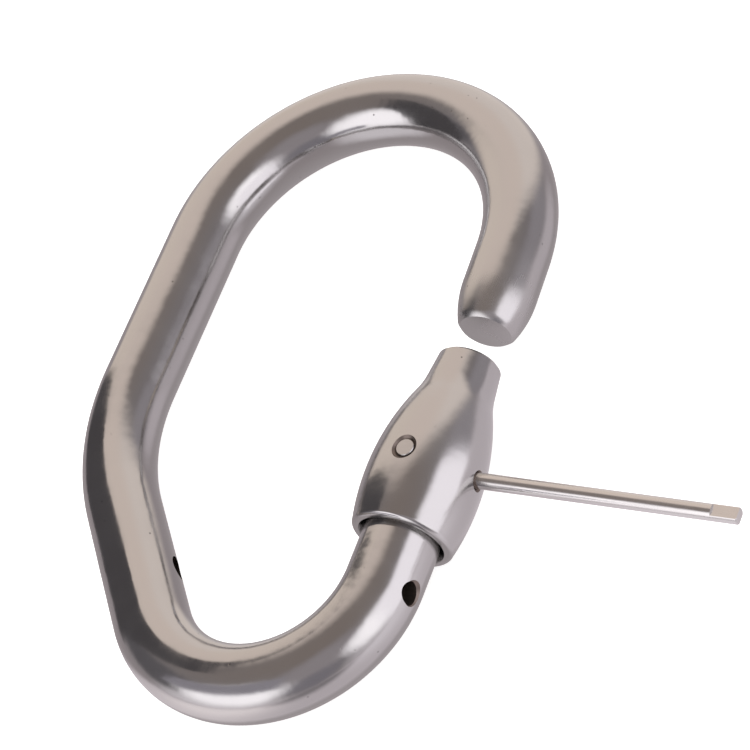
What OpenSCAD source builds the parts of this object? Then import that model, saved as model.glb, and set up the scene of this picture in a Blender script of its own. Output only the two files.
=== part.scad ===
/* [Ring] */
// Diameter of the round bar that the ring is bent from
bar_d = 10; // [8:0.5:12]
// Distance from the gate's axis to the spine's axis
ring_w = 48.1; // [44:0.1:56]
// Height of the round crown's axis above the cross pin
crown_y = 57.4; // [54:0.1:66]
// Height of the kink's corner above the cross pin
kink_y = -1.4; // [-4:0.1:6]
// Angle of the slanted lower limb from the spine's direction
limb_angle = 36.9; // [33:0.1:40]
// Bend radius of the bar's axis at the bottom
bottom_bend_r = 16.8; // [14:0.1:18]
// Bend radius of the bar's axis at the kink
kink_bend_r = 32; // [16:0.5:36]
// Angle by which the hook's limb leans outwards
hook_lean = 2; // [0:0.5:3]

/* [Hook tip] */
// Height of the tip's flat end face above the cross pin
tip_y = 22.15; // [20:0.05:25]
// Length of the stretch that narrows in a curve towards the tip
taper_len = 6.2; // [4:0.1:8]
// Diameter of the tip above its chamfer
tip_d = 7.9; // [7:0.1:9]
// Width of the chamfer round the tip's end face
tip_chamfer = 0.5; // [0.3:0.1:0.8]

/* [Lock sleeve] */
// Height of the neck's top face above the cross pin
neck_top_y = 17.25; // [15.5:0.05:18.5]
// Depth of the bottom rim below the cross pin
rim_y = 9.1; // [7.5:0.1:10]
// Outer diameter of the neck at its top face
neck_d = 8.3; // [7.8:0.05:9]
// Half angle of the neck's slight taper
neck_angle = 6.5; // [3:0.5:8]
// Radius of the concave curve between the neck and the belly
shoulder_curve_r = 11; // [8:0.5:13]
// Largest outer diameter of the belly
belly_d = 14.9; // [14:0.1:17]
// Depth of the belly's widest place below the cross pin
belly_drop = 1.5; // [0:0.1:3]
// Radius of the belly's long outer curve
belly_curve_r = 34.5; // [28:0.5:45]
// Width of the rounded edge of the bottom rim
rim_round = 0.45; // [0.2:0.05:0.6]
// Width of the broken edge at the neck's top
neck_edge = 0.2; // [0.1:0.05:0.4]
// How far the mouth flares out from the bore at the rim
mouth_flare = 0.6; // [0.3:0.05:0.8]
// Depth of the flare
mouth_depth = 1.2; // [0.8:0.1:2]
// Height of the wide bore's end above the cross pin
bore_top_y = 7.6; // [6.5:0.1:8]

/* [Bar end] */
// Diameter of the nose that runs up into the neck
nose_d = 5.8; // [5:0.1:6.4]
// Height of the nose's end above the cross pin
nose_top_y = 12; // [10:0.1:12.2]
// Radial clearance between the sleeve and what it slides on
run_clear = 0.05; // [0.02:0.01:0.1]
// Depth of the guide groove below the bar's surface
groove_depth = 2; // [1.2:0.1:2.1]
// Clearance of the pin in its groove, and of the rod's inner end from the bar
groove_clear = 0.1; // [0.05:0.01:0.2]
// How far the sleeve slides down from the photographed place
open_travel = 4.8; // [3:0.1:5]
// Gap that is left to the tip when the sleeve is closed
closed_gap = 0.3; // [0.2:0.05:0.5]

/* [Guide pin] */
// Diameter of the guide pin
pin_d = 2.4; // [1.8:0.1:2.4]
// How far the pin's outer end lies below the belly's surface
pin_recess = 0.3; // [0.1:0.05:0.5]
// Width of the countersink round the pin
pin_sink_w = 0.6; // [0.2:0.05:0.7]

/* [Release rod] */
// Diameter of the rod
rod_d = 2.1; // [1.5:0.1:2.4]
// Length of the rod that shows outside the belly
rod_out = 35; // [25:0.1:38]
// Height above the cross pin at which the rod's line meets the gate's axis
rod_rise = 0.5; // [0:0.1:1]
// Angle by which the rod's line falls towards its free end
rod_lean = 1.2; // [0:0.1:2]
// Width of the countersink round the rod
rod_sink_w = 0.35; // [0.2:0.05:0.7]
// Radial clearance of the rod in its hole
rod_clear = 0.05; // [0.02:0.01:0.1]
// Length of the two milled flats at the free end
flat_len = 3.4; // [2:0.1:5]
// Thickness that is left between the flats
flat_t = 1.35; // [1:0.05:1.5]

/* [Catch] */
// Diameter of the catch ball
ball_d = 3; // [2:0.1:3.2]
// Radial clearance of the ball in its hole
ball_clear = 0.05; // [0.02:0.01:0.1]
// Depth of the ball's hole below the bar's surface
ball_hole_depth = 6; // [5:0.1:6.4]
// Wire diameter of the catch spring
wire_d = 0.4; // [0.3:0.05:0.5]
// Number of turns of the catch spring
spring_turns = 4; // [3:1:5]
// Depth of the catch grooves in the sleeve's bore
catch_depth = 0.25; // [0.1:0.05:0.3]

/* [Stow holes] */
// Diameter of the cross hole and of the blind hole in line with it
stow_d = 3; // [2.4:0.1:3.4]
// How far the cross hole lies below the start of the bottom bend
stow_drop = 1.7; // [0.5:0.1:3]
// Angle of both holes from square to the gate, in the ring's plane
stow_angle = 0.5; // [0:0.5:6]
// Height of the cross hole's middle above the ring's mid plane, towards the pin's side
stow_rise = 0.85; // [0:0.05:1.5]
// Angle by which the holes' line falls from the cross hole to the blind hole
stow_turn = 2.5; // [0:0.5:4]
// Depth of the blind hole in the slanted limb
blind_depth = 4.4; // [3:0.1:6]

/* [Hidden] */
$fn = 96;

// A small overrun that lets each cut pass clean through a face
cut = 0.5;
bar_r = bar_d / 2;
// Each run reaches a little into its bends, and is too little slimmer than them to be felt
lap = 0.1;
run_r = bar_r - 0.02;
belly_r = belly_d / 2;
neck_r = neck_d / 2;
nose_r = nose_d / 2;
tip_r = tip_d / 2;
pin_r = pin_d / 2;
rod_r = rod_d / 2;
ball_r = ball_d / 2;
stow_r = stow_d / 2;
steel = "#B0A8A3";
bright_steel = "#C6C0BC";
inner_steel = "#8E8A88";

// The ring's axis is a chain of straight runs with a bend at each corner, all turning one way
gate_corner = [0, kink_y - ring_w / tan(limb_angle)];
kink_corner = [-ring_w, kink_y];
down = -90;
up = 90;
along_limb = 90 + limb_angle;

// Length of straight axis that a bend takes on each side of its corner
function bend_reach(turn, r) = r * tan(turn / 2);
function heading(a) = [cos(a), sin(a)];

bottom_turn = 180 - limb_angle;
bottom_start = gate_corner - bend_reach(bottom_turn, bottom_bend_r) * heading(down);
bottom_end = gate_corner + bend_reach(bottom_turn, bottom_bend_r) * heading(along_limb);
kink_start = kink_corner - bend_reach(limb_angle, kink_bend_r) * heading(along_limb);
kink_end = kink_corner + bend_reach(limb_angle, kink_bend_r) * heading(up);
// The crown is one round bend from the spine to the hook's limb
crown_bend_r = ring_w / 2;
crown_centre = [-crown_bend_r, crown_y - crown_bend_r];
crown_start = crown_centre - [crown_bend_r, 0];
hook_start = crown_centre + crown_bend_r * heading(hook_lean);
hook_head = down + hook_lean;
hook_len = (hook_start[1] - tip_y) / cos(hook_lean);
taper_start = hook_start + (hook_len - taper_len) * heading(hook_head);

// The bar keeps its full diameter up to a step that the sleeve's own step never reaches
step_clear = 0.2;
bar_end_y = bore_top_y - open_travel - step_clear;

// The pin's inner end is just clear of the groove's floor, and the rod's of the bar's surface
groove_floor = bar_r - groove_depth;
pin_inner_end = groove_floor + groove_clear;
rod_inner_end = bar_r + run_clear + groove_clear;

// How far the sleeve slides up from the photographed place
closed_travel = tip_y - neck_top_y - closed_gap;

// The belly is one long arc, the shoulder a hollow arc tangent to it and to the neck's cone
belly_axis = belly_r - belly_curve_r;
neck_slope = tan(neck_angle);
curve_offset = neck_r + neck_top_y * neck_slope + shoulder_curve_r / cos(neck_angle) - belly_axis;
curve_span = belly_curve_r + shoulder_curve_r;
quad_a = 1 + neck_slope * neck_slope;
quad_b = curve_offset * neck_slope - belly_drop;
quad_c = curve_offset * curve_offset + belly_drop * belly_drop - curve_span * curve_span;
hollow_y = (quad_b + sqrt(quad_b * quad_b - quad_a * quad_c)) / quad_a;
hollow_x = belly_axis + curve_offset - hollow_y * neck_slope;
join_angle = asin((hollow_y + belly_drop) / curve_span);

// Outer radius of the belly at a height, for holes and the pin's end
function belly_at(y) = belly_axis + sqrt(pow(belly_curve_r, 2) - pow(y + belly_drop, 2));
rim_angle = -asin((rim_y - rim_round - belly_drop) / belly_curve_r);
rim_r = belly_at(-rim_y + rim_round);

// The free end of the rod along its own line and out from the gate, and the ring's lowest place
rod_end = belly_r + rod_out;
rod_end_x = rod_end * cos(rod_lean) + rod_r * sin(rod_lean);
ring_low_y = bottom_start[1] - bottom_bend_r - bar_r;

// The origin is the middle of the box round the whole part, on the surface that it lies on
gate_x = (ring_w + bar_r - rod_end_x) / 2;
gate_y = -(crown_y + bar_r + ring_low_y) / 2;
gate_z = belly_r;

module in_place() {
  translate([gate_x, gate_y, gate_z])
    children();
}

// A straight run of bar between two places on the ring's axis, reaching into what it meets
module run(from, to, lap_from = lap) {
  way = to - from;
  start = from - lap_from * way / norm(way);
  translate([start[0], start[1], 0])
    rotate([0, 90, atan2(way[1], way[0])])
      cylinder(h = norm(way) + lap_from + lap, r = run_r);
}

// A bend that starts at a place with a heading and turns clockwise
module bend(from, head, turn, r) {
  centre = from + r * [sin(head), -cos(head)];
  translate([centre[0], centre[1], 0])
    rotate([0, 0, head + 90 - turn])
      rotate_extrude(angle = turn)
        translate([r, 0])
          circle(r = bar_r);
}

module along_gate(y) {
  translate([0, y, 0])
    rotate([-90, 0, 0])
      children();
}

// The tip narrows along one arc that leaves the bar's surface smoothly, then ends in a chamfer
curve_len = taper_len - tip_chamfer;
tip_drop = bar_r - tip_r;
tip_curve_r = (pow(curve_len, 2) + pow(tip_drop, 2)) / (2 * tip_drop);
tip_steps = 10;

module hook_tip() {
  curve = [for (i = [0:tip_steps]) let (z = curve_len * i / tip_steps)
    [bar_r - tip_curve_r + sqrt(pow(tip_curve_r, 2) - pow(z, 2)), z]];
  translate([taper_start[0], taper_start[1], 0])
    rotate([0, 90, hook_head])
      rotate_extrude()
        polygon(concat([[0, 0]], curve, [[tip_r - tip_chamfer, taper_len], [0, taper_len]]));
}

// A groove with a flat floor that runs out of the bar's end, which the pin's inner end rides in
module guide_groove() {
  w = pin_d + 2 * groove_clear;
  low_y = -open_travel;
  translate([-w / 2, low_y, groove_floor])
    cube([w, bar_end_y - low_y + cut, groove_depth + cut]);
  translate([0, low_y, groove_floor])
    cylinder(h = groove_depth + cut, d = w);
}

// Depth of the cross hole below the cross pin, on the gate's axis
stow_y = stow_drop - bottom_start[1];

// Places children on the holes' line, at a distance out from the gate's axis
module on_stow_line(out) {
  translate([0, -stow_y, stow_rise])
    rotate([0, 90 - stow_turn, stow_angle])
      translate([0, 0, out])
        children();
}

// Distance along the stow line at which it enters the slanted limb's inner side
limb_reach = ring_w - (kink_y + stow_y) * tan(limb_angle) - bar_r / cos(limb_angle);
limb_lean = cos(stow_turn) * (cos(stow_angle) + sin(stow_angle) * tan(limb_angle));
blind_start = limb_reach / limb_lean;

module stow_holes() {
  on_stow_line(-bar_r - cut)
    cylinder(h = bar_d + 2 * cut, r = stow_r);
  on_stow_line(-blind_start - blind_depth)
    cylinder(h = blind_depth + bar_r / 2, r = stow_r);
}

module ring_body() {
  color(steel)
    in_place()
      difference() {
        union() {
          run([0, bar_end_y], bottom_start, lap_from = 0);
          bend(bottom_start, down, bottom_turn, bottom_bend_r);
          run(bottom_end, kink_start);
          bend(kink_start, along_limb, limb_angle, kink_bend_r);
          run(kink_end, crown_start);
          bend(crown_start, up, 180 - hook_lean, crown_bend_r);
          run(hook_start, taper_start);
          hook_tip();
          along_gate(bar_end_y)
            cylinder(h = nose_top_y - bar_end_y, r = nose_r);
        }
        guide_groove();
        stow_holes();
        rotate([0, -90, 0])
          translate([0, 0, bar_r - ball_hole_depth])
            cylinder(h = ball_hole_depth + cut, r = ball_r + ball_clear);
      }
}

// Outer outline of the sleeve from the rim to the neck's top, as radius and height
sleeve_steps = 24;
hollow_steps = 16;
sleeve_outline = concat(
  [[0, -rim_y], [rim_r - rim_round, -rim_y]],
  [for (i = [1:5]) let (a = i * 90 / 6)
    [rim_r - rim_round + rim_round * sin(a), -rim_y + rim_round - rim_round * cos(a)]],
  [for (i = [0:sleeve_steps]) let (a = rim_angle + (join_angle - rim_angle) * i / sleeve_steps)
    [belly_axis + belly_curve_r * cos(a), -belly_drop + belly_curve_r * sin(a)]],
  [for (i = [1:hollow_steps]) let (a = join_angle + (neck_angle - join_angle) * i / hollow_steps)
    [hollow_x - shoulder_curve_r * cos(a), hollow_y - shoulder_curve_r * sin(a)]],
  [[neck_r + neck_edge * neck_slope, neck_top_y - neck_edge], [neck_r - neck_edge, neck_top_y],
    [0, neck_top_y]]
);

// A countersunk cross hole in the belly, drawn on the upper side
module cross_hole(r, sink) {
  surface = belly_at(0);
  cylinder(h = belly_d, r = r);
  translate([0, 0, surface - sink])
    cylinder(h = sink + cut, r1 = r, r2 = r + sink + cut);
}

// Turns children's upward axis onto the rod's line
module on_rod_line() {
  translate([0, rod_rise, 0])
    rotate([0, 90, -rod_lean])
      children();
}

// An inner groove that the catch ball clicks into
module catch_groove(y) {
  along_gate(y)
    rotate_extrude()
      translate([bar_r + run_clear - ball_r + catch_depth, 0])
        circle(r = ball_r, $fn = 48);
}

module lock_sleeve() {
  bore_r = bar_r + run_clear;
  flare = mouth_flare / mouth_depth;
  color(steel)
    in_place()
      difference() {
        rotate([-90, 0, 0])
          rotate_extrude()
            polygon(sleeve_outline);
        along_gate(-rim_y - cut)
          cylinder(h = rim_y + cut + bore_top_y, r = bore_r);
        along_gate(-rim_y - cut)
          cylinder(h = mouth_depth + 2 * cut, r1 = bore_r + mouth_flare + cut * flare, r2 = bore_r - cut * flare);
        along_gate(0)
          cylinder(h = neck_top_y + cut, r = nose_r + run_clear);
        cross_hole(pin_r, pin_sink_w);
        on_rod_line()
          cross_hole(rod_r + rod_clear, rod_sink_w);
        catch_groove(open_travel);
        catch_groove(-closed_travel);
      }
}

module guide_pin() {
  color(bright_steel)
    in_place()
      translate([0, 0, pin_inner_end])
        cylinder(h = belly_at(0) - pin_recess - pin_inner_end, r = pin_r, $fn = 48);
}

module release_rod() {
  len = rod_end - rod_inner_end;
  color(bright_steel)
    in_place()
      on_rod_line()
        translate([0, 0, rod_inner_end])
          difference() {
            cylinder(h = len, r = rod_r, $fn = 48);
            for (side = [0, 180])
              rotate([0, 0, side])
                translate([flat_t / 2, -rod_d, len - flat_len])
                  cube([rod_d, 2 * rod_d, flat_len + cut]);
          }
}

module catch_ball() {
  color(bright_steel)
    in_place()
      translate([ball_r - bar_r, 0, 0])
        sphere(r = ball_r, $fn = 48);
}

// The spring is a round wire that follows a helix, closed at both ends by flat caps
wire_sides = 8;
turn_steps = 16;
coil_r = ball_r - ball_clear - wire_d;
spring_len = ball_hole_depth - ball_d - wire_d;
spring_rings = spring_turns * turn_steps;

function wire_ring(i) =
  let (a = 360 * i / turn_steps, z = spring_len * i / spring_rings)
  [for (j = [0:wire_sides - 1]) let (b = 360 * j / wire_sides, r = coil_r + wire_d / 2 * cos(b))
    [r * cos(a), r * sin(a), z + wire_d / 2 * sin(b)]];

module catch_spring() {
  points = [for (i = [0:spring_rings]) each wire_ring(i)];
  sides = [for (i = [0:spring_rings - 1], j = [0:wire_sides - 1])
    let (a = i * wire_sides + j, b = i * wire_sides + (j + 1) % wire_sides)
    [a, b, b + wire_sides, a + wire_sides]];
  first = [for (j = [wire_sides - 1:-1:0]) j];
  last = [for (j = [0:wire_sides - 1]) spring_rings * wire_sides + j];
  color(inner_steel)
    in_place()
      translate([ball_hole_depth - bar_r - wire_d / 2, 0, 0])
        rotate([0, -90, 0])
          polyhedron(points, concat([first], sides, [last]));
}

ring_body();
lock_sleeve();
guide_pin();
release_rod();
catch_ball();
catch_spring();
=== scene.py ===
from math import asin, cos, pi, radians, sin, sqrt, tan
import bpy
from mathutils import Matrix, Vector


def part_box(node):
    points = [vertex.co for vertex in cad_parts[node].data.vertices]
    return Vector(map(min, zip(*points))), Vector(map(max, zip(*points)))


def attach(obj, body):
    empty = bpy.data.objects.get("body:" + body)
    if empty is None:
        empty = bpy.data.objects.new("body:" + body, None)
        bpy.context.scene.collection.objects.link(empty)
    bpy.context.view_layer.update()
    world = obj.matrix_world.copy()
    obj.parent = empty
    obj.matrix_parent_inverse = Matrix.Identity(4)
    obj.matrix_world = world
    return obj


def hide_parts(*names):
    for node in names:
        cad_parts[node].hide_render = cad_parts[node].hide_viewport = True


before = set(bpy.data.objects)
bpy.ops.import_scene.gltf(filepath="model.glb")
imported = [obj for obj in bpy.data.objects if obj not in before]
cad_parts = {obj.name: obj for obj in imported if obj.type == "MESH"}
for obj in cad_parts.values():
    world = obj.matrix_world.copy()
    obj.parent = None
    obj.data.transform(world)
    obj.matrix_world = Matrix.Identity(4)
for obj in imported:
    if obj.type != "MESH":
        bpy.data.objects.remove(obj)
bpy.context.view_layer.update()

from types import SimpleNamespace

import bmesh
import bpy
from bpy.props import FloatProperty, FloatVectorProperty, PointerProperty
from mathutils import Matrix, Vector

bl_info = {
    "name": "Steel Carabiner",
    "version": (1, 0, 0),
    "blender": (4, 5, 0),
    "location": "3D View > Sidebar > Carabiner",
    "description": "A bent ring carabiner with a turned lock sleeve, a guide pin and a release rod",
    "category": "Add Mesh",
}

MM = 0.001

# Even steps round a drilled hole, the sleeve and the bar
DRILL_STEPS = 64
SLEEVE_STEPS = 144
BAR_STEPS = 72

# Even steps along the bar's bends, its runs and its tip, and along the arcs of the sleeve's outline
BEND_STEP = radians(1.5)
RUN_STEPS = 12
TIP_STEPS = 14
RIM_STEPS = 8
BELLY_STEPS = 48
SHOULDER_STEPS = 28

# Cutters run on past the skin by this much
OVER = 0.5 * MM


def linear(code, alpha=1.0):
    """An sRGB hex colour as the linear numbers that a shader takes."""
    parts = [int(code[i:i + 2], 16) / 255 for i in (1, 3, 5)]
    return [c / 12.92 if c <= 0.04045 else ((c + 0.055) / 1.055) ** 2.4 for c in parts] + [alpha]


def colour(name, description, code):
    """A colour that the panel's user may change."""
    return FloatVectorProperty(name=name, description=description, default=linear(code)[:3],
                               subtype="COLOR", size=3, min=0, max=1)


def length(name, description, mm):
    """A length, given in millimetres, that the panel's user may change."""
    return FloatProperty(name=name, description=description, default=mm * MM, unit="LENGTH")


def angle(name, description, turn):
    """An angle, given in degrees, that the panel's user may change."""
    return FloatProperty(name=name, description=description, default=radians(turn), subtype="ANGLE")


class FinishColours(bpy.types.PropertyGroup):
    steel: colour("Polished steel", "What stainless steel throws back of plain white light", "#C6C5C4")
    # Painted light: the rod's tone is brighter than the ring's steel so that it shows the bright table near
    # it, which the steel doesn't see
    rod: colour("Drawn rod", "The rod's brighter steel", "#D4D2D0")
    # Partly painted shade: the drilled walls are darker than the polished steel so that the holes look shaded
    # inside
    drilled: colour("Drilled steel", "Walls of holes that no wheel has reached", "#8A7F78")
    # Painted shade: the darker floor of each small pit
    pit_shade: colour("Pits", "Floor of the small pits", "#4A4644")
    table: colour("Table", "The pale floor", "#F2F1EF")
    dark_card: colour("Dark card", "The dark card that the steel shows on the left", "#3E3B3D")
    bright_table: colour("Bright table", "The table round the ring that the steel shows", "#A7A0A4")
    grey_card: colour("Grey card", "The grey card that the steel shows below the bottom bend", "#7C787F")
    white_card: colour("White card", "The white card that the steel shows on the right", "#E4DFE5")


class RingSizes(bpy.types.PropertyGroup):
    bar_d: length("Bar diameter", "Round stock that the ring is bent from", 10)
    ring_w: length("Ring width", "Between the gate's axis and the spine's axis", 48.1)
    crown_y: length("Crown height", "Top of the crown's axis above the cross pin", 57.4)
    kink_y: length("Kink height", "The kink's corner above the cross pin", -1.4)
    limb_angle: angle("Limb angle", "Slanted limb from the spine's direction", 36.9)
    bottom_bend_r: length("Bottom bend radius", "Of the bar's axis", 16.8)
    kink_bend_r: length("Kink bend radius", "Of the bar's axis", 32)
    hook_lean: angle("Hook lean", "Outward lean of the hook's limb", 2)
    tip_y: length("Tip height", "The tip's end face above the cross pin", 22.15)
    taper_len: length("Taper length", "Stretch that narrows towards the tip", 6.2)
    tip_d: length("Tip diameter", "Above the tip's chamfer", 7.9)
    tip_chamfer: length("Tip chamfer", "Width of the chamfer at the tip", 0.5)
    bar_end_y: length("Bar end", "Full bar's end inside the sleeve", 2.6)
    nose_d: length("Nose diameter", "Nose that runs up into the neck", 5.8)
    nose_top_y: length("Nose end", "The nose's end above the cross pin", 12)
    groove_w: length("Groove width", "Guide groove for the pin", 2.6)
    groove_depth: length("Groove depth", "Guide groove for the pin", 2)
    groove_low: length("Groove end", "Lower end of the groove below the cross pin", 4.8)
    hole_d: length("Cross hole", "Diameter of the cross hole and the blind hole", 3)
    hole_drop: length("Cross hole drop", "Below the start of the bottom bend", 1.7)
    hole_rise: length("Cross hole rise", "Above the ring's mid plane", 0.85)
    hole_fall: angle("Hole line fall", "From the cross hole to the blind hole", 2.5)
    hole_angle: angle("Cross hole angle", "From square to the gate", 0.5)
    hole_edge: length("Cross hole edge", "Width of the broken edge", 0.4)
    blind_depth: length("Blind depth", "Of the hole in the slanted limb", 4.4)


class SleeveSizes(bpy.types.PropertyGroup):
    neck_top_y: length("Neck top", "Above the cross pin", 17.25)
    rim_y: length("Rim drop", "Bottom rim below the cross pin", 9.1)
    neck_d: length("Neck diameter", "At its top face", 8.3)
    neck_angle: angle("Neck angle", "Half angle of the neck's taper", 6.5)
    shoulder_r: length("Shoulder curve", "Hollow curve between neck and belly", 11)
    belly_d: length("Belly diameter", "At its widest place", 14.9)
    belly_drop: length("Belly drop", "Widest place below the cross pin", 1.5)
    belly_r: length("Belly curve", "Radius of the long outer curve", 34.5)
    rim_round: length("Rim round", "Rounded edge of the rim", 0.7)
    lip_drop: length("Lip drop", "Rounded lip's end past the solid's rim", 0.25)
    neck_edge: length("Neck edge", "Broken edge at the neck's top", 0.4)
    bore_d: length("Bore", "Runs on the bar", 10.1)
    bore_top_y: length("Bore top", "Above the cross pin", 7.6)
    mouth_flare: length("Mouth flare", "Out from the bore at the rim", 0.6)
    mouth_depth: length("Mouth depth", "Of the flare", 0.8)
    neck_bore_d: length("Neck bore", "Runs on the nose", 5.9)
    pin_d: length("Pin diameter", "Guide pin", 2.4)
    pin_recess: length("Pin recess", "Pin's face below the belly", 0.3)
    pin_edge: length("Pin edge", "Broken edge of the pin's face", 0.08)
    pin_inner: length("Pin inner end", "From the gate's axis", 3.1)
    rod_hole_d: length("Rod hole", "Side hole for the rod", 2.2)
    pin_sink_w: length("Pin countersink", "Its width round the pin", 0.6)
    rod_sink_w: length("Rod countersink", "Its width round the rod", 0.35)


class RodSizes(bpy.types.PropertyGroup):
    rod_d: length("Rod diameter", "Drawn rod", 2.1)
    rise: length("Rod rise", "Above the cross pin, on the gate's axis", 0.5)
    lean: angle("Rod lean", "Fall towards the free end", 1.2)
    inner: length("Inner end", "From the gate's axis", 5.15)
    outer: length("Outer end", "From the gate's axis", 42.45)
    rod_edge: length("Rod edge", "Broken edge of the rod's free end", 0.12)
    flat_len: length("Flat length", "Of the milled flats", 3.4)
    flat_t: length("Flat thickness", "Left between the flats", 1.35)


def gate_place():
    """Where the cross pin's crossing with the gate's axis lies in the row's frame."""
    low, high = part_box("lock_sleeve")
    sizes = bpy.context.scene.carabiner_sleeve
    return Vector(((low[0] + high[0]) / 2, low[1] + sizes.rim_y, (low[2] + high[2]) / 2))


def rod_line(context):
    """Where the rod's line meets the gate's axis, above the cross pin, and which way it runs."""
    rod = context.scene.carabiner_rod
    return Vector((0, rod.rise, 0)), Vector((cos(rod.lean), -sin(rod.lean), 0))


def draw_line(bm, vert, to):
    """Draws one edge from a vertex to a place, and gives the new vertex."""
    new = bmesh.ops.extrude_vert_indiv(bm, verts=[vert])["verts"][0]
    new.co = Vector(to)
    return new


def draw_arc(bm, vert, centre, turn, steps):
    """Draws an arc in the XY plane from a vertex round a centre, and gives its last vertex."""
    out = bmesh.ops.spin(bm, geom=[vert], cent=centre, axis=(0, 0, 1), angle=turn, steps=steps,
                         use_duplicate=False)
    return [g for g in out["geom_last"] if isinstance(g, bmesh.types.BMVert)][0]


def turn_on_y(bm, steps):
    """Turns the drawn outline once round the Y axis into a closed skin."""
    bmesh.ops.spin(bm, geom=bm.verts[:] + bm.edges[:], cent=(0, 0, 0), axis=(0, 1, 0),
                   angle=2 * pi, steps=steps, use_merge=True)
    bmesh.ops.remove_doubles(bm, verts=bm.verts[:], dist=1e-6)


def carve(obj, cutters, wall):
    """Takes the cutters out of a piece's mesh, and gives the new walls their own finish."""
    for cutter in cutters:
        cutter.data.materials.append(wall)
        cut = obj.modifiers.new("cut", "BOOLEAN")
        cut.operation = "DIFFERENCE"
        cut.solver = "EXACT"
        cut.material_mode = "TRANSFER"
        cut.object = cutter
    graph = bpy.context.evaluated_depsgraph_get()
    graph.update()
    done = bpy.data.meshes.new_from_object(obj.evaluated_get(graph))
    obj.modifiers.clear()
    obj.data = done
    for cutter in cutters:
        bpy.data.objects.remove(cutter)


def to_object(name, bm, place=(0, 0, 0)):
    """Makes a drawn mesh an object whose place is in its mesh."""
    bmesh.ops.recalc_face_normals(bm, faces=bm.faces[:])
    bmesh.ops.translate(bm, verts=bm.verts[:], vec=place)
    mesh = bpy.data.meshes.new(name)
    bm.to_mesh(mesh)
    bm.free()
    obj = bpy.data.objects.new(name, mesh)
    bpy.context.scene.collection.objects.link(obj)
    return obj


def smooth(obj, corner=radians(30)):
    """Shades a piece round, with its real corners kept crisp."""
    obj.data.polygons.foreach_set("use_smooth", [True] * len(obj.data.polygons))
    obj.data.set_sharp_from_angle(angle=corner)


def drill(name, place, way, stations):
    """A turned cutter along a direction: stations are pairs of distance and radius from its start."""
    bm = bmesh.new()
    vert = bm.verts.new((0, stations[0][0], 0))
    for out, r in stations:
        vert = draw_line(bm, vert, (r, out, 0))
    draw_line(bm, vert, (0, stations[-1][0], 0))
    turn_on_y(bm, DRILL_STEPS)
    turn = Vector((0, 1, 0)).rotation_difference(Vector(way)).to_matrix()
    bmesh.ops.rotate(bm, verts=bm.verts[:], cent=(0, 0, 0), matrix=turn)
    return to_object(name, bm, place)


def block(name, size, middle):
    """A plain block as a cutter."""
    bm = bmesh.new()
    bmesh.ops.create_cube(bm, size=1.0)
    bmesh.ops.scale(bm, verts=bm.verts[:], vec=size)
    return to_object(name, bm, middle)


def dress(obj, node, body):
    """Lets a finished piece stand for its CAD node on its body."""
    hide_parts(node)
    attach(obj, body)


def add_node(tree, kind, settings=None, **links):
    """Adds a node, sets its properties and sockets, and links what is given by socket name."""
    node = tree.nodes.new(kind)
    for key, value in (settings or {}).items():
        if isinstance(key, str) and hasattr(node, key):
            setattr(node, key, value)
        else:
            node.inputs[key].default_value = value
    for key, source in links.items():
        name = key.replace("_", " ")
        socket = node.inputs[name] if name in node.inputs else node.inputs[int(key[1:])]
        tree.links.new(source, socket)
    return node


def soft_step(tree, value, start, end, full=1.0):
    """A share that rises softly from nothing at the start to its full height at the end."""
    step = add_node(tree, "ShaderNodeMapRange",
                    {"interpolation_type": "SMOOTHSTEP", "From Min": start, "From Max": end, "To Max": full},
                    Value=value)
    return step.outputs[0]


def start_material(name):
    """A new material with an empty tree of nodes."""
    material = bpy.data.materials.new(name)
    material.use_nodes = True
    material.node_tree.nodes.clear()
    return material, material.node_tree


def drilled_steel_painted_shade(name):
    """The dull, dark wall that a drill leaves: it throws back no clear picture, and its dark tone is painted
    shade inside the hole, so a hole reads as a hole.
    """
    material, tree = start_material(name)
    place = add_node(tree, "ShaderNodeTexCoord").outputs["Object"]
    # Chatter marks are about 0.2 mm apart
    chatter = add_node(tree, "ShaderNodeTexNoise", {"Scale": 1 / (0.2 * MM), "Detail": 2.0}, Vector=place)
    marks = add_node(tree, "ShaderNodeBump", {"Strength": 0.3, "Distance": 0.01 * MM},
                     Height=chatter.outputs["Fac"])
    # The darker tone is painted shade inside the hole, on top of the rough drilled finish
    tone = (*bpy.context.scene.carabiner_colours.drilled, 1)
    wall = add_node(tree, "ShaderNodeBsdfPrincipled",
                    {"Metallic": 1.0, "Roughness": 0.42, "Base Color": tone}, Normal=marks.outputs[0])
    add_node(tree, "ShaderNodeOutputMaterial", Surface=wall.outputs[0])
    return material


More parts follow.
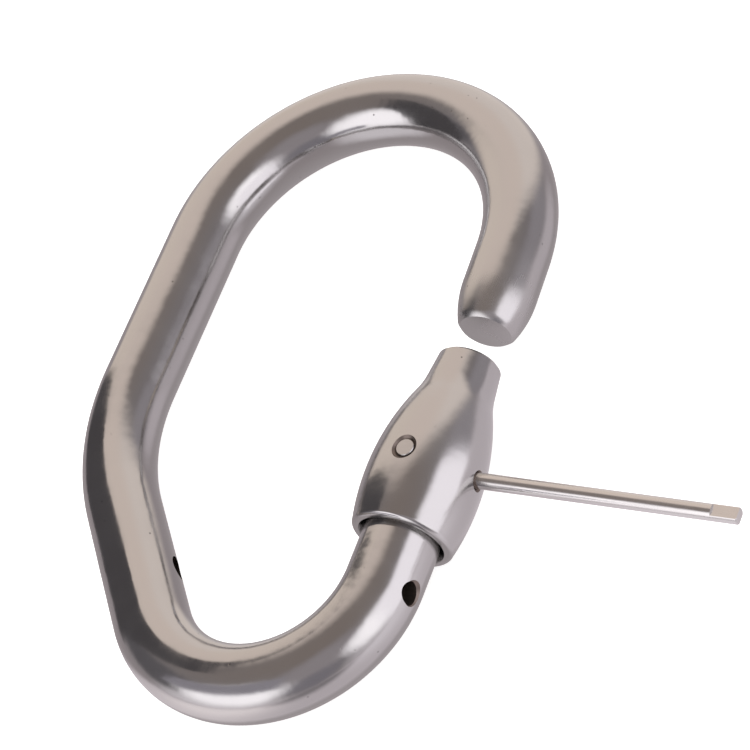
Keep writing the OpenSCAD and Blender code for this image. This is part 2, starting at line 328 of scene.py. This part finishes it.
def polished_steel(name, rough, marks_along, pits=1.0, tone=None, satin=None):
    """Stainless steel, ground and polished: a soft mirror with hair-fine polishing marks and small pits,
    whose floors are darkened with painted shade.
    """
    colours = bpy.context.scene.carabiner_colours
    material, tree = start_material(name)
    place = add_node(tree, "ShaderNodeTexCoord").outputs["Object"]

    # Polishing marks are hairs about 0.15 mm wide and a few millimetres long
    hair = [1 / (0.15 * MM)] * 3
    hair["XYZ".index(marks_along)] = 1 / (4 * MM)
    combed = add_node(tree, "ShaderNodeMapping", {"Scale": hair}, Vector=place)
    hairs = add_node(tree, "ShaderNodeTexNoise", {"Scale": 1.0, "Detail": 3.0}, Vector=combed.outputs[0])

    # Slow waves about 6 mm apart are left where the wheel has run longer, so the edges of reflections wander
    waves = add_node(tree, "ShaderNodeTexNoise", {"Scale": 1 / (6 * MM), "Detail": 3.0}, Vector=place)
    shine = add_node(tree, "ShaderNodeMapRange",
                     {"From Min": 0.35, "From Max": 0.65, "To Min": rough * 0.8, "To Max": rough * 1.35},
                     Value=waves.outputs["Fac"])
    rub = add_node(tree, "ShaderNodeMath", {"operation": "MULTIPLY_ADD", 1: 0.06},
                   _0=hairs.outputs["Fac"], _2=shine.outputs[0])
    dull = add_node(tree, "ShaderNodeMath", {"operation": "SUBTRACT", 1: 0.03}, _0=rub.outputs[0])
    if satin:
        # Round a place that was turned and not polished, lamps in the steel spread and lose their edges
        middle, reach, soft, more = satin
        away = add_node(tree, "ShaderNodeVectorMath", {"operation": "DISTANCE", 1: middle}, _0=place)
        near = soft_step(tree, away.outputs["Value"], reach + soft, reach, more)
        dull = add_node(tree, "ShaderNodeMath", {"operation": "ADD"}, _0=dull.outputs[0], _1=near)

    # Pits are 0.1 to 0.3 mm wide, and only in some cells of the pattern; their darker floors are painted
    # shade
    cells = add_node(tree, "ShaderNodeTexVoronoi", {"Scale": 1 / (1.6 * MM)}, Vector=place)
    pit_shade = add_node(tree, "ShaderNodeMapRange",
                   {"From Min": 0.04, "From Max": 0.09, "To Min": 0.7, "To Max": 0.0},
                   Value=cells.outputs["Distance"])
    chance = add_node(tree, "ShaderNodeSeparateColor", Color=cells.outputs["Color"])
    chosen = add_node(tree, "ShaderNodeMath", {"operation": "LESS_THAN", 1: 0.3 * pits}, _0=chance.outputs[0])
    # Painted shade in the pits: this share darkens their floors, and the dents below sink them
    dark = add_node(tree, "ShaderNodeMath", {"operation": "MULTIPLY"},
                    _0=pit_shade.outputs[0], _1=chosen.outputs[0])
    skin = add_node(tree, "ShaderNodeMix",
                    {"data_type": "RGBA", 6: (*(tone or colours.steel), 1), 7: (*colours.pit_shade, 1)},
                    _0=dark.outputs[0])

    marks = add_node(tree, "ShaderNodeBump", {"Strength": 0.12, "Distance": 0.004 * MM},
                     Height=hairs.outputs["Fac"])
    dents = add_node(tree, "ShaderNodeBump", {"Strength": 0.6, "Distance": 0.03 * MM, "invert": True},
                     Height=dark.outputs[0], Normal=marks.outputs[0])
    ripple = add_node(tree, "ShaderNodeBump", {"Strength": 0.8, "Distance": 0.1 * MM},
                      Height=waves.outputs["Fac"], Normal=dents.outputs[0])
    steel = add_node(tree, "ShaderNodeBsdfPrincipled", {"Metallic": 1.0}, Base_Color=skin.outputs[2],
                     Roughness=dull.outputs[0], Normal=ripple.outputs[0])
    add_node(tree, "ShaderNodeOutputMaterial", Surface=steel.outputs[0])
    return material


def ring_route(s):
    """Where the ring's axis starts, bends and ends, worked out from its sizes."""
    corner_y = s.kink_y - s.ring_w / tan(s.limb_angle)
    bottom_turn = pi - s.limb_angle
    bottom_reach = s.bottom_bend_r * tan(bottom_turn / 2)
    kink_reach = s.kink_bend_r * tan(s.limb_angle / 2)
    limb_way = Vector((-sin(s.limb_angle), cos(s.limb_angle), 0))
    limb_side = Vector((cos(s.limb_angle), sin(s.limb_angle), 0))
    start_y = corner_y + bottom_reach
    kink_start = Vector((-s.ring_w, s.kink_y, 0)) - kink_reach * limb_way
    crown_r = s.ring_w / 2
    crown_centre = Vector((-crown_r, s.crown_y - crown_r, 0))
    hook_way = Vector((sin(s.hook_lean), -cos(s.hook_lean), 0))
    hook_start = crown_centre + crown_r * Vector((cos(s.hook_lean), sin(s.hook_lean), 0))
    hook_len = (hook_start.y - s.tip_y) / cos(s.hook_lean)
    return SimpleNamespace(
        start_y=start_y,
        bottom_centre=Vector((-s.bottom_bend_r, start_y, 0)),
        bottom_turn=bottom_turn,
        limb_start=Vector((0, corner_y, 0)) + bottom_reach * limb_way,
        kink_start=kink_start,
        kink_centre=kink_start + s.kink_bend_r * limb_side,
        kink_end=Vector((-s.ring_w, s.kink_y + kink_reach, 0)),
        spine_end=Vector((-s.ring_w, crown_centre.y, 0)),
        crown_centre=crown_centre,
        hook_start=hook_start,
        hook_way=hook_way,
        taper_start=hook_start + (hook_len - s.taper_len) * hook_way,
        tip=hook_start + hook_len * hook_way,
    )


def push(bm, edges, vec, scale=1.0, about=None):
    """Carries the bar's open end on by a straight step, and may make it slimmer."""
    geom = bmesh.ops.extrude_edge_only(bm, edges=edges)["geom"]
    verts = [g for g in geom if isinstance(g, bmesh.types.BMVert)]
    bmesh.ops.translate(bm, verts=verts, vec=vec)
    if scale != 1.0:
        bmesh.ops.scale(bm, verts=verts, vec=(scale, scale, scale), space=Matrix.Translation(-about))
    return [g for g in geom if isinstance(g, bmesh.types.BMEdge) and all(v in verts for v in g.verts)]


def run_on(bm, edges, way, steps):
    """Carries the bar's open end straight on in even steps."""
    for _ in range(steps):
        edges = push(bm, edges, way / steps)
    return edges


def bend_on(bm, edges, centre, turn):
    """Bends the bar on round a centre, clockwise, in even steps."""
    ends = edges + list({v for e in edges for v in e.verts})
    out = bmesh.ops.spin(bm, geom=ends, cent=centre, axis=(0, 0, 1), angle=-turn,
                         steps=max(2, round(turn / BEND_STEP)))
    return [g for g in out["geom_last"] if isinstance(g, bmesh.types.BMEdge)]


def narrow_tip(bm, loop, s, route):
    """Narrows the hook's end on one arc, then closes it with a chamfer and a flat face."""
    r = s.bar_d / 2
    curve_len = s.taper_len - s.tip_chamfer
    drop = r - s.tip_d / 2
    curve_r = (curve_len ** 2 + drop ** 2) / (2 * drop)
    step = route.hook_way * curve_len / TIP_STEPS
    now_r = r
    for i in range(1, TIP_STEPS + 1):
        next_r = r - curve_r + sqrt(curve_r ** 2 - (curve_len * i / TIP_STEPS) ** 2)
        loop = push(bm, loop, step, next_r / now_r, route.taper_start + i * step)
        now_r = next_r
    loop = push(bm, loop, route.hook_way * s.tip_chamfer, (s.tip_d / 2 - s.tip_chamfer) / now_r, route.tip)
    bmesh.ops.contextual_create(bm, geom=loop)


def bend_bar(s, route):
    """Bends the round bar from the gate to the hook's tip, and turns the slim nose at its other end."""
    bm = bmesh.new()
    start = bmesh.ops.create_circle(bm, cap_ends=False, radius=s.bar_d / 2, segments=BAR_STEPS)["verts"]
    bmesh.ops.rotate(bm, verts=start, cent=(0, 0, 0), matrix=Matrix.Rotation(pi / 2, 3, "X"))
    bmesh.ops.translate(bm, verts=start, vec=(0, s.bar_end_y, 0))
    first = list(bm.edges)
    loop = run_on(bm, first, Vector((0, route.start_y - s.bar_end_y, 0)), RUN_STEPS)
    loop = bend_on(bm, loop, route.bottom_centre, route.bottom_turn)
    loop = run_on(bm, loop, route.kink_start - route.limb_start, RUN_STEPS)
    loop = bend_on(bm, loop, route.kink_centre, s.limb_angle)
    loop = run_on(bm, loop, route.spine_end - route.kink_end, RUN_STEPS)
    loop = bend_on(bm, loop, route.crown_centre, pi - s.hook_lean)
    loop = run_on(bm, loop, route.taper_start - route.hook_start, RUN_STEPS // 2)
    narrow_tip(bm, loop, s, route)
    nose = push(bm, first, Vector((0, 0, 0)), s.nose_d / s.bar_d, Vector((0, s.bar_end_y, 0)))
    nose = push(bm, nose, Vector((0, s.nose_top_y - s.bar_end_y, 0)))
    bmesh.ops.contextual_create(bm, geom=nose)
    return bm


def ring_cutters(s, route):
    """The cross hole with its broken edge, the blind hole in the slanted limb, and the pin's groove."""
    r, hole_r = s.bar_d / 2, s.hole_d / 2
    level, fall = cos(s.hole_fall), sin(s.hole_fall)
    way = Vector((level * cos(s.hole_angle), level * sin(s.hole_angle), fall))
    place = Vector((0, route.start_y - s.hole_drop, s.hole_rise))
    cross = drill("cross_cut", place, way,
                  [(-r - OVER, hole_r), (r - s.hole_edge, hole_r), (r + OVER, hole_r + s.hole_edge + OVER)])
    # How far back the slanted limb's inner side lies on the holes' line
    reach = s.ring_w - (s.kink_y - place.y) * tan(s.limb_angle) - r / cos(s.limb_angle)
    reach /= way.x + way.y * tan(s.limb_angle)
    blind = drill("blind_cut", place, way, [(-reach - s.blind_depth, hole_r), (r / 2 - reach, hole_r)])
    floor, top = r - s.groove_depth, s.bar_end_y + OVER
    groove = block("groove_cut", (s.groove_w, top + s.groove_low, r),
                   (0, (top - s.groove_low) / 2, floor + r / 2))
    groove_end = drill("groove_end_cut", Vector((0, -s.groove_low, 0)), Vector((0, 0, 1)),
                       [(floor, s.groove_w / 2), (r + OVER, s.groove_w / 2)])
    return [cross, blind, groove, groove_end]


class CARABINER_OT_ring(bpy.types.Operator):
    """Bends the ring from round bar, turns its tip and drills its holes"""
    bl_idname = "carabiner.ring"
    bl_label = "Bent Ring"

    def execute(self, context):
        s = context.scene.carabiner_ring
        route, gate = ring_route(s), gate_place()
        obj = to_object("ring_bar", bend_bar(s, route))
        satin = (gate + route.tip, s.taper_len, s.taper_len, 0.12)
        finish = polished_steel("polished_stainless_bar", rough=0.15, marks_along="Y", satin=satin)
        obj.data.materials.append(finish)
        carve(obj, ring_cutters(s, route), drilled_steel_painted_shade("drilled_wall_painted_shade"))
        obj.data.transform(Matrix.Translation(gate))
        smooth(obj)
        dress(obj, "ring_body", "ring")
        return {"FINISHED"}


def belly_at(s, y):
    """The belly's radius at a height above the cross pin."""
    return s.belly_d / 2 - s.belly_r + sqrt(s.belly_r ** 2 - (y + s.belly_drop) ** 2)


def draw_sleeve(bm, s):
    """Draws the sleeve's half section: rim, belly, hollow shoulder, neck cone and stepped bore."""
    axis = s.belly_d / 2 - s.belly_r
    slope = tan(s.neck_angle)
    # The shoulder's hollow arc touches both the belly's arc and the neck's cone, and that places its centre
    offset = s.neck_d / 2 + s.neck_top_y * slope + s.shoulder_r / cos(s.neck_angle) - axis
    span = s.belly_r + s.shoulder_r
    qa, qb = 1 + slope ** 2, offset * slope - s.belly_drop
    qc = offset ** 2 + s.belly_drop ** 2 - span ** 2
    hollow_y = (qb + sqrt(qb ** 2 - qa * qc)) / qa
    hollow_x = axis + offset - hollow_y * slope
    join = asin((hollow_y + s.belly_drop) / span)

    end = -s.rim_y - s.lip_drop
    low = end + s.rim_round
    low_angle = asin((low + s.belly_drop) / s.belly_r)
    rim_r = belly_at(s, low) - s.rim_round
    mouth = (s.bore_d / 2 + s.mouth_flare, end, 0)
    vert = draw_line(bm, bm.verts.new(mouth), (rim_r, end, 0))
    vert = draw_arc(bm, vert, (rim_r, low, 0), pi / 2, RIM_STEPS)
    vert = draw_arc(bm, vert, (axis, -s.belly_drop, 0), join - low_angle, BELLY_STEPS)
    vert = draw_arc(bm, vert, (hollow_x, hollow_y, 0), s.neck_angle - join, SHOULDER_STEPS)
    neck_r, neck_bore_r, bore_r = s.neck_d / 2, s.neck_bore_d / 2, s.bore_d / 2
    for place in (
        (neck_r + s.neck_edge * slope, s.neck_top_y - s.neck_edge, 0),
        (neck_r - s.neck_edge, s.neck_top_y, 0),
        (neck_bore_r, s.neck_top_y, 0),
        (neck_bore_r, s.bore_top_y, 0),
        (bore_r, s.bore_top_y, 0),
        (bore_r, s.mouth_depth - s.rim_y, 0),
        mouth,
    ):
        vert = draw_line(bm, vert, place)


class CARABINER_OT_sleeve(bpy.types.Operator):
    """Turns the lock sleeve with its neck, hollow shoulder, belly and stepped bore"""
    bl_idname = "carabiner.sleeve"
    bl_label = "Lock Sleeve"

    def execute(self, context):
        s = context.scene.carabiner_sleeve
        bm = bmesh.new()
        draw_sleeve(bm, s)
        turn_on_y(bm, SLEEVE_STEPS)
        obj = to_object("sleeve_barrel", bm)
        finish = polished_steel("turned_stainless_sleeve", rough=0.17, marks_along="X", pits=0.3)
        obj.data.materials.append(finish)
        skin = belly_at(s, 0)
        holes = (
            ("pin_cut", Vector((0, 0, 0)), Vector((0, 0, 1)), s.pin_d / 2, s.pin_sink_w),
            ("rod_cut", *rod_line(context), s.rod_hole_d / 2, s.rod_sink_w),
        )
        cuts = [drill(name, place, way, [(0, r), (skin - sink, r), (skin + OVER, r + sink + OVER)])
                for name, place, way, r, sink in holes]
        carve(obj, cuts, drilled_steel_painted_shade("countersunk_wall_painted_shade"))
        obj.data.transform(Matrix.Translation(gate_place()))
        smooth(obj)
        dress(obj, "lock_sleeve", "sleeve")
        return {"FINISHED"}


class CARABINER_OT_pin(bpy.types.Operator):
    """Makes the flush guide pin in the belly's face"""
    bl_idname = "carabiner.pin"
    bl_label = "Guide Pin"

    def execute(self, context):
        s = context.scene.carabiner_sleeve
        face = belly_at(s, 0) - s.pin_recess
        r, edge = s.pin_d / 2, s.pin_edge
        obj = drill("pin_plug", gate_place(), Vector((0, 0, 1)),
                    [(s.pin_inner, r), (face - edge, r), (face, r - edge)])
        smooth(obj)
        obj.data.materials.append(polished_steel("faced_stainless_pin", rough=0.22, marks_along="X", pits=0))
        dress(obj, "guide_pin", "sleeve")
        return {"FINISHED"}


class CARABINER_OT_rod(bpy.types.Operator):
    """Makes the release rod with the milled flats at its free end"""
    bl_idname = "carabiner.rod"
    bl_label = "Release Rod"

    def execute(self, context):
        s = context.scene.carabiner_rod
        r, edge = s.rod_d / 2, s.rod_edge
        # The rod's brighter tone is painted light, standing in for the bright table near the rod
        tone = context.scene.carabiner_colours.rod
        finish = polished_steel("drawn_rod_with_painted_light", rough=0.2, marks_along="X", pits=0, tone=tone)
        obj = drill("rod_bar", Vector((0, 0, 0)), Vector((1, 0, 0)),
                    [(s.inner, r), (s.outer - edge, r), (s.outer, r - edge)])
        obj.data.materials.append(finish)
        size, lift = (2 * s.flat_len, 2 * s.rod_d, s.rod_d), (s.flat_t + s.rod_d) / 2
        cuts = [block("flat_cut", size, (s.outer, 0, side * lift)) for side in (1, -1)]
        carve(obj, cuts, finish)
        place, way = rod_line(context)
        lean = Vector((1, 0, 0)).rotation_difference(way).to_matrix().to_4x4()
        obj.data.transform(Matrix.Translation(gate_place() + place) @ lean)
        smooth(obj)
        dress(obj, "release_rod", "rod")
        return {"FINISHED"}


class CARABINER_OT_catch(bpy.types.Operator):
    """Finishes the catch ball and its spring, which the sleeve hides"""
    bl_idname = "carabiner.catch"
    bl_label = "Hidden Catch"

    def execute(self, context):
        finish = polished_steel("bright_spring_steel", rough=0.25, marks_along="X", pits=0)
        for name in ("catch_ball", "catch_spring"):
            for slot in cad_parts[name].material_slots:
                slot.material = finish
        return {"FINISHED"}


# The studio round the object, as the steel shows it: height on the sphere and colour
STUDIO_WALLS = ((-1.0, "#8E888A"), (-0.5, "#847D7F"), (-0.2, "#827B7D"), (0.05, "#767173"), (0.3, "#696467"),
                (0.7, "#6D6767"), (1.0, "#6E6561"))

# Round reflectors and dark places: azimuth, elevation, radius and soft edge in degrees, and colour
STUDIO_ROUNDS = (
    ("wall_behind_lens", -50, 42, 22, 12, "#7E787B"),
    ("table_under_left_lamp", -111, -7, 30, 13, "#BCB7BB"),
    ("table_under_right_lamp", -4, -4, 26, 12, "#AEA9AD"),
    ("dark_behind_lens", -57, 10, 15, 9, "#6C686E"),
    ("table_by_the_front", 45, -27, 16, 12, "#A39CA0"),
    ("table_under_warm_wall", 118, -4, 26, 12, "#AFA9A8"),
    ("wall_on_the_right", 45, 10, 16, 12, "#7C777B"),
    ("warm_wall", 108, 18, 42, 8, "#BEB4AE"),
    ("warm_wall_far", 150, 22, 24, 7, "#BBAFA6"),
    ("warm_wall_upper", 117, 44, 18, 15, "#BBAEA6"),
    ("dark_doorway", -156, 22, 20, 6, "#4F4C4F"),
    ("left_lamp", -112, 26, 22, 10, "#F2EEF2"),
    ("left_lamp_near", -95, 20, 15, 12, "#F2EEF2"),
    ("right_lamp", -6, 23, 22, 9, "#F2EEF2"),
)

# Round pools of painted light, and one painted shadow, on the bright table: place from the bottom bend's
# centre, radius and soft edge in mm
TABLE_POOLS = (
    ("left_lamp_on_table", -11, -51, 24, 14, "#D2CACC"),
    ("right_lamp_on_table", 54, -7, 23, 12, "#C0BABF"),
    # A painted shadow on the table towards the lens
    ("lens_shadow_on_table", 37, -55, 22, 10, "#726D70"),
)

# Which way the bright table lies from the bottom bend's centre
TABLE_SIDE = (0.75, -0.66, 0)

# Cards that stand close to the object, in mm: the axis that each faces and its place on it, its low and high
# side, foot and top, the soft width at each of the four, and its high side's lean for each mm of height
STANDING_CARDS = (
    ("dark_card", "X", -100, (-49, 16), (5, 155), (7, 3, 6, 3), 0.1),
    ("white_card", "X", 80, (-26, 32), (-30, 62), (22, 16, 1, 34), 0),
    ("grey_card", "Y", -62, (-38, 0), (22, 31), (6, 6, 5, 8), 0),
)

# How strongly the studio shines in the steel, and on matt things
STEEL_LEVEL = 1.8
MATT_LEVEL = 0.8

# How far the floor reaches to each side in metres, and the glow that the camera sees on it beside its light
FLOOR_REACH = 3.0
FLOOR_GLOW = 0.7

# The overhead lamp's place and width in metres, and its power in watts
LAMP_PLACE = (-0.1, 0.15, 0.7)
LAMP_WIDTH = 0.5
LAMP_POWER = 2.0

# Where the photograph was taken from in metres, which way its right and its back point, and its lens in mm
CAMERA_PLACE = (0.171508, -0.155975, 0.269829)
CAMERA_RIGHT = (0.8591, 0.3395, -0.3831)
CAMERA_BACK = (0.5054, -0.4438, 0.7400)
CAMERA_LENS = 131.2
CAMERA_SENSOR = 36


def light_studio(scene):
    """A white studio to the camera, a plain level on matt things, and lamps and walls in the steel."""
    world = bpy.data.worlds.new("white_studio")
    scene.world = world
    world.use_nodes = True
    tree = world.node_tree
    tree.nodes.clear()
    way = add_node(tree, "ShaderNodeTexCoord").outputs["Generated"]
    height = add_node(tree, "ShaderNodeSeparateXYZ", Vector=way)
    share = add_node(tree, "ShaderNodeMapRange", {"From Min": -1.0}, Value=height.outputs["Z"])
    walls = add_node(tree, "ShaderNodeValToRGB", Fac=share.outputs[0])
    stops = walls.color_ramp.elements
    while len(stops) < len(STUDIO_WALLS):
        stops.new(0.5)
    for stop, (z, code) in zip(stops, STUDIO_WALLS):
        stop.position = (z + 1) / 2
        stop.color = linear(code)
    seen = walls.outputs["Color"]
    for name, azimuth, elevation, radius, edge, code in STUDIO_ROUNDS:
        a, e = radians(azimuth), radians(elevation)
        middle = (cos(e) * cos(a), cos(e) * sin(a), sin(e))
        toward = add_node(tree, "ShaderNodeVectorMath",
                          {"operation": "DOT_PRODUCT", "name": name, 1: middle}, _0=way).outputs["Value"]
        disc = soft_step(tree, toward, cos(radians(radius + edge)), cos(radians(radius - edge)))
        lit = add_node(tree, "ShaderNodeMix", {"data_type": "RGBA", 7: linear(code)}, _0=disc, _6=seen)
        seen = lit.outputs[2]
    path = add_node(tree, "ShaderNodeLightPath")
    plain = add_node(tree, "ShaderNodeMapRange", {"To Min": MATT_LEVEL}, Value=path.outputs["Is Camera Ray"])
    open_air = add_node(tree, "ShaderNodeBackground", {"Color": (1, 1, 1, 1)}, Strength=plain.outputs[0])
    in_steel = add_node(tree, "ShaderNodeBackground", {"Strength": STEEL_LEVEL}, Color=seen)
    either = add_node(tree, "ShaderNodeMixShader", Fac=path.outputs["Is Glossy Ray"],
                      _1=open_air.outputs[0], _2=in_steel.outputs[0])
    add_node(tree, "ShaderNodeOutputWorld", Surface=either.outputs[0])


def lay_floor(tone):
    """The plain pale table, which keeps the object's shadow and which the steel doesn't show."""
    bm = bmesh.new()
    bmesh.ops.create_grid(bm, x_segments=1, y_segments=1, size=FLOOR_REACH)
    floor = to_object("pale_floor", bm)
    floor.visible_glossy = False
    paint, tree = start_material("matt_white_table")
    matt = add_node(tree, "ShaderNodeBsdfDiffuse", {"Color": (*tone, 1)})
    path = add_node(tree, "ShaderNodeLightPath")
    level = add_node(tree, "ShaderNodeMath", {"operation": "MULTIPLY", 1: FLOOR_GLOW},
                     _0=path.outputs["Is Camera Ray"])
    glow = add_node(tree, "ShaderNodeEmission", {"Color": (1, 1, 1, 1)}, Strength=level.outputs[0])
    both = add_node(tree, "ShaderNodeAddShader", _0=matt.outputs[0], _1=glow.outputs[0])
    add_node(tree, "ShaderNodeOutputMaterial", Surface=both.outputs[0])
    floor.data.materials.append(paint)


def fade(tree, edges):
    """A share that is whole within all the soft edges: each is a value with its start and its end."""
    share = None
    for value, start, end in edges:
        part = soft_step(tree, value, start, end)
        if share is None:
            share = part
        else:
            share = add_node(tree, "ShaderNodeMath", {"operation": "MULTIPLY"}, _0=share, _1=part).outputs[0]
    return share


def only_in_steel(obj, paper, glow, share):
    """Makes a stage piece a glow on a clear sheet that only the steel's reflections meet."""
    for way in ("camera", "diffuse", "transmission", "volume_scatter", "shadow"):
        setattr(obj, "visible_" + way, False)
    tree = paper.node_tree
    clear = add_node(tree, "ShaderNodeBsdfTransparent")
    both = add_node(tree, "ShaderNodeMixShader", Fac=share, _1=clear.outputs[0], _2=glow.outputs[0])
    add_node(tree, "ShaderNodeOutputMaterial", Surface=both.outputs[0])
    obj.data.materials.append(paper)


def lay_bright_table(tone, ring):
    """The bright table in front of the bottom bend. It ends near the bar, and fades far from it."""
    outer = ring.bottom_bend_r + ring.bar_d / 2
    reach = 120 * MM
    bm = bmesh.new()
    bmesh.ops.create_grid(bm, x_segments=1, y_segments=1, size=reach)
    middle = Vector((gate_place().x - ring.bottom_bend_r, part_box("ring_body")[0][1] + outer, -0.5 * MM))
    sheet = to_object("bright_table", bm, middle)

    paper, tree = start_material("bright_table_paper")
    place = add_node(tree, "ShaderNodeTexCoord").outputs["Object"]
    place = add_node(tree, "ShaderNodeVectorMath", {"operation": "SUBTRACT", 1: middle}, _0=place).outputs[0]
    away = add_node(tree, "ShaderNodeVectorMath", {"operation": "LENGTH"}, _0=place).outputs["Value"]
    aside = add_node(tree, "ShaderNodeVectorMath", {"operation": "DOT_PRODUCT", 1: TABLE_SIDE}, _0=place)
    # It starts 0.5 to 5 mm from the bar, fades over its outer half, and ends softly beside the bend's middle
    share = fade(tree, ((away, outer + 0.5 * MM, outer + 5 * MM), (away, reach, reach / 2),
                        (aside.outputs["Value"], -14 * MM, -4 * MM)))
    seen = None
    # Pools of painted light, and one painted shadow, on the table
    for name, x, y, radius, edge, code in TABLE_POOLS:
        apart = add_node(tree, "ShaderNodeVectorMath",
                         {"operation": "DISTANCE", "name": name, 1: (x * MM, y * MM, 0)},
                         _0=place).outputs["Value"]
        disc = soft_step(tree, apart, (radius + edge) * MM, (radius - edge) * MM)
        pool = add_node(tree, "ShaderNodeMix", {"data_type": "RGBA", 6: (*tone, 1), 7: linear(code)}, _0=disc)
        if seen:
            tree.links.new(seen, pool.inputs[6])
        seen = pool.outputs[2]
    glow = add_node(tree, "ShaderNodeEmission", {"Strength": STEEL_LEVEL}, Color=seen)
    only_in_steel(sheet, paper, glow, share)


def stand_card(name, tone, facing, at, side, height, soft, lean):
    """A card square to X or Y. Its sides, foot and top fade out, and its high side leans."""
    square = Vector((1, 0, 0)) if facing == "X" else Vector((0, 1, 0))
    across, up = Vector((1, 1, 0)) - square, Vector((0, 0, 1))
    ends = ((side[0] - soft[0], side[1] + soft[1] + lean * height[1]),
            (height[0] - soft[2], height[1] + soft[3]))
    width, tall = (high - low for low, high in ends)
    bm = bmesh.new()
    bmesh.ops.create_grid(bm, x_segments=1, y_segments=1, size=0.5)
    bmesh.ops.scale(bm, verts=bm.verts[:], vec=(tall * MM, width * MM, 1))
    bmesh.ops.rotate(bm, verts=bm.verts[:], cent=(0, 0, 0), matrix=Matrix.Rotation(pi / 2, 3, "Y"))
    if facing == "Y":
        bmesh.ops.rotate(bm, verts=bm.verts[:], cent=(0, 0, 0), matrix=Matrix.Rotation(pi / 2, 3, "Z"))
    card = to_object(name, bm, (at * square + sum(ends[0]) / 2 * across + sum(ends[1]) / 2 * up) * MM)

    paper, tree = start_material(name + "_paper")
    place = add_node(tree, "ShaderNodeTexCoord").outputs["Object"]
    edges = []
    for way, start, end in ((across, ends[0][0], side[0]), (across - lean * up, side[1] + soft[1], side[1]),
                            (up, ends[1][0], height[0]), (up, ends[1][1], height[1])):
        along = add_node(tree, "ShaderNodeVectorMath", {"operation": "DOT_PRODUCT", 1: way}, _0=place)
        edges.append((along.outputs["Value"], start * MM, end * MM))
    glow = add_node(tree, "ShaderNodeEmission", {"Color": (*tone, 1), "Strength": STEEL_LEVEL})
    only_in_steel(card, paper, glow, fade(tree, edges))


def hang_lamp(scene):
    """A wide soft lamp overhead only lays the object's shadow on the table: the steel doesn't show it."""
    lamp = bpy.data.lights.new("soft_overhead_lamp", "AREA")
    lamp.shape = "DISK"
    lamp.size = LAMP_WIDTH
    lamp.energy = LAMP_POWER
    overhead = bpy.data.objects.new("soft_overhead_lamp", lamp)
    overhead.location = LAMP_PLACE
    overhead.rotation_euler = Vector(LAMP_PLACE).to_track_quat("Z", "Y").to_euler()
    overhead.visible_glossy = False
    scene.collection.objects.link(overhead)


def place_camera(scene):
    """The photograph's camera, worked out from the ring's own shape."""
    camera = bpy.data.cameras.new("photo_camera")
    camera.lens = CAMERA_LENS
    camera.sensor_width = CAMERA_SENSOR
    camera.clip_start = 10 * MM
    eye = bpy.data.objects.new("photo_camera", camera)
    back = Vector(CAMERA_BACK).normalized()
    up = back.cross(Vector(CAMERA_RIGHT)).normalized()
    turn = Matrix((up.cross(back), up, back)).transposed().to_4x4()
    eye.matrix_world = Matrix.Translation(CAMERA_PLACE) @ turn
    scene.collection.objects.link(eye)
    scene.camera = eye


class CARABINER_OT_stage(bpy.types.Operator):
    """Sets the pale floor, the soft light, what the steel shows of the studio, and the camera"""
    bl_idname = "carabiner.stage"
    bl_label = "Stage, Light and Camera"

    def execute(self, context):
        scene = context.scene
        colours = scene.carabiner_colours
        lay_floor(colours.table)
        light_studio(scene)
        lay_bright_table(colours.bright_table, scene.carabiner_ring)
        for name, *card in STANDING_CARDS:
            stand_card(name, getattr(colours, name), *card)
        hang_lamp(scene)
        place_camera(scene)
        scene.view_settings.view_transform = "Standard"
        return {"FINISHED"}


class CARABINER_PT_panel(bpy.types.Panel):
    """Lists the carabiner's pieces"""
    bl_idname = "CARABINER_PT_panel"
    bl_label = "Steel Carabiner"
    bl_space_type = "VIEW_3D"
    bl_region_type = "UI"
    bl_category = "Carabiner"

    def draw(self, context):
        for step in STEPS:
            self.layout.operator(step.bl_idname)


STEPS = (CARABINER_OT_ring, CARABINER_OT_sleeve, CARABINER_OT_pin, CARABINER_OT_rod, CARABINER_OT_catch,
         CARABINER_OT_stage)
CLASSES = (FinishColours, RingSizes, SleeveSizes, RodSizes) + STEPS + (CARABINER_PT_panel,)


def register():
    for kind in CLASSES:
        bpy.utils.register_class(kind)
    bpy.types.Scene.carabiner_colours = PointerProperty(type=FinishColours)
    bpy.types.Scene.carabiner_ring = PointerProperty(type=RingSizes)
    bpy.types.Scene.carabiner_sleeve = PointerProperty(type=SleeveSizes)
    bpy.types.Scene.carabiner_rod = PointerProperty(type=RodSizes)


def unregister():
    del bpy.types.Scene.carabiner_rod
    del bpy.types.Scene.carabiner_sleeve
    del bpy.types.Scene.carabiner_ring
    del bpy.types.Scene.carabiner_colours
    for kind in reversed(CLASSES):
        bpy.utils.unregister_class(kind)


def main():
    register()
    for step in STEPS:
        group, name = step.bl_idname.split(".")
        getattr(getattr(bpy.ops, group), name)()


if __name__ == "__main__":
    main()
